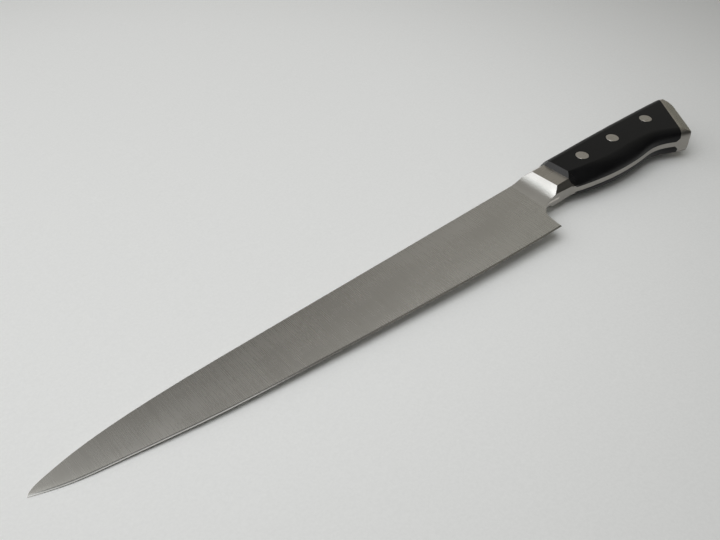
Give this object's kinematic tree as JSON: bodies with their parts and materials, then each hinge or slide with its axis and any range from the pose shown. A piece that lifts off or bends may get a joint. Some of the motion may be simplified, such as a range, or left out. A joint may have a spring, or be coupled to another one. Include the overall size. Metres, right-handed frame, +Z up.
{
  "type": "carving knife",
  "caption": "Long slicing and carving knife with a full tang, steel bolster and butt cap, and riveted contoured handle scales.",
  "frame": {"origin": "bottom centre of the knife's box, on the surface that it lies on", "axes": "+X from the tip to the butt, +Y from the cutting edge to the spine, +Z up, out of the left side"},
  "size_m": [0.4074, 0.0386, 0.0196],
  "materials": {
    "blade_steel": "satin ground stainless steel with fine lines running across the blade",
    "fittings": "fine satin stainless steel, polished in the hollow front of the bolster",
    "scales": "black moulded resin, buffed to a low sheen",
    "rivets": "stainless steel ground flush with the scales"
  },
  "bodies": {
    "root": {"blade_and_tang": "blade_steel", "bolster_left": "fittings", "bolster_right": "fittings", "butt_cap_left": "fittings", "butt_cap_right": "fittings", "scale_left": "scales", "scale_right": "scales", "rivet_post_front": "rivets", "rivet_sleeve_front": "rivets", "rivet_post_middle": "rivets", "rivet_sleeve_middle": "rivets", "rivet_post_rear": "rivets", "rivet_sleeve_rear": "rivets"}
  },
  "joints": []
}
